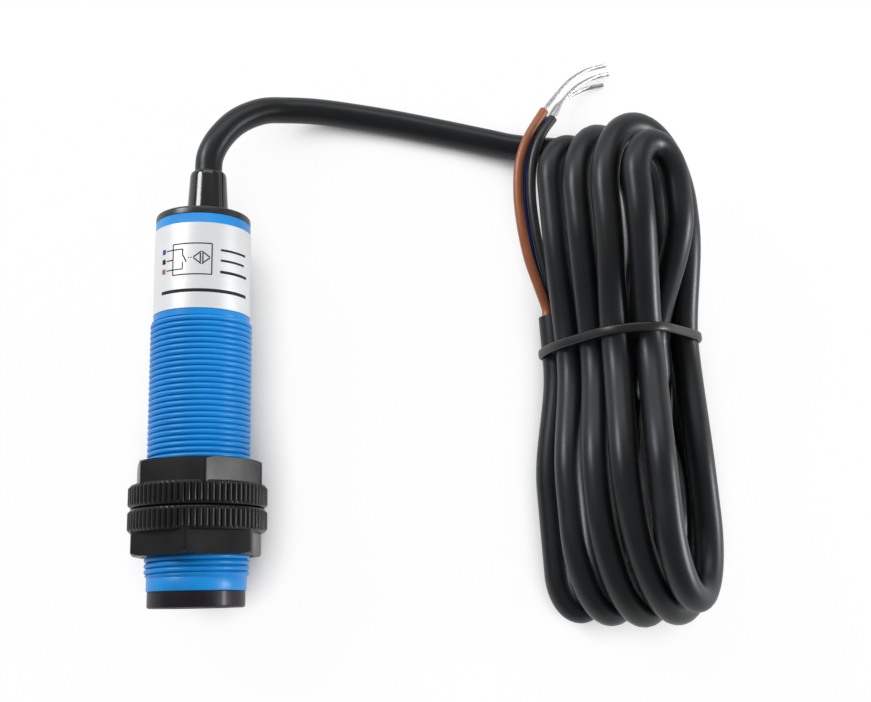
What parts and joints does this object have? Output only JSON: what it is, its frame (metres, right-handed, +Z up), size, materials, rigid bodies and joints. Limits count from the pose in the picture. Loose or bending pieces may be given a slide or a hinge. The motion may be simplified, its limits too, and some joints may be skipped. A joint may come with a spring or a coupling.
{
  "type": "photoelectric sensor",
  "caption": "Cylindrical photoelectric sensor: blue threaded barrel with knurled nuts, dark front window, silver label, rear strain relief and a tied hank of cable with stripped leads.",
  "frame": {"origin": "on the table under the middle of the sensor body, cable left out", "axes": "+Y along the barrel axis from the front window towards the cable, +Z up, +X towards the hank of cable"},
  "size_m": [0.1038, 0.1088, 0.0289],
  "materials": {
    "blue_plastic": "satin moulded plastic",
    "filter_plastic": "glossy dark optical filter",
    "inner_black": "matt moulded plastic",
    "emitter_clear": "clear epoxy",
    "receiver_dark": "dark epoxy",
    "board_green": "solder mask on fibreglass",
    "chip_black": "matt moulding compound",
    "capacitor_sleeve": "shrink sleeve",
    "resistor_ceramic": "matt",
    "diode_grey": "moulded",
    "trimmer_blue": "moulded",
    "screw_brass": "machined",
    "lamp_amber": "translucent",
    "cap_black": "glossy moulded plastic",
    "relief_black": "glossy moulded rubber",
    "label_foil": "satin foil",
    "nut_black": "semi gloss moulded plastic",
    "core_brown": "extruded",
    "jacket_black": "satin extruded jacket",
    "tie_black": "moulded",
    "lead_brown": "extruded",
    "lead_blue": "extruded",
    "lead_black": "extruded",
    "tinned_wire": "tinned stranded copper"
  },
  "bodies": {
    "sensor": {"barrel": "blue_plastic", "front_window": "filter_plastic", "optics_holder": "inner_black", "emitter_led": "emitter_clear", "receiver_diode": "receiver_dark", "circuit_board": "board_green", "control_chip": "chip_black", "output_transistor": "chip_black", "filter_capacitor": "capacitor_sleeve", "chip_resistors": "resistor_ceramic", "protection_diode": "diode_grey", "trimmer_body": "trimmer_blue", "indicator_led": "lamp_amber", "rear_cap": "cap_black", "strain_relief": "relief_black", "label": "label_foil", "core_tails": "core_brown", "cable_lead_in": "jacket_black", "cable_hank": "jacket_black", "cable_tie": "tie_black", "brown_lead": "lead_brown", "blue_lead": "lead_blue", "black_lead": "lead_black", "brown_wire": "tinned_wire", "blue_wire": "tinned_wire", "black_wire": "tinned_wire"},
    "front_nut": {"front_nut": "nut_black"},
    "rear_nut": {"rear_nut": "nut_black"},
    "trimmer_screw": {"trimmer_screw": "screw_brass"}
  },
  "joints": [
    {"name": "front_nut_travel", "type": "slide", "parent": "sensor", "child": "front_nut", "axis": [0, -1, 0], "range_m": [0, 0.018]},
    {"name": "rear_nut_travel", "type": "slide", "parent": "sensor", "child": "rear_nut", "axis": [0, 1, 0], "range_m": [0, 0.025]},
    {"name": "trimmer_turn", "type": "hinge", "parent": "sensor", "child": "trimmer_screw", "pos_m": [-0.0037, 0.02645, 0.0145], "axis": [0, 1, 0], "range_deg": [-135, 135]}
  ]
}
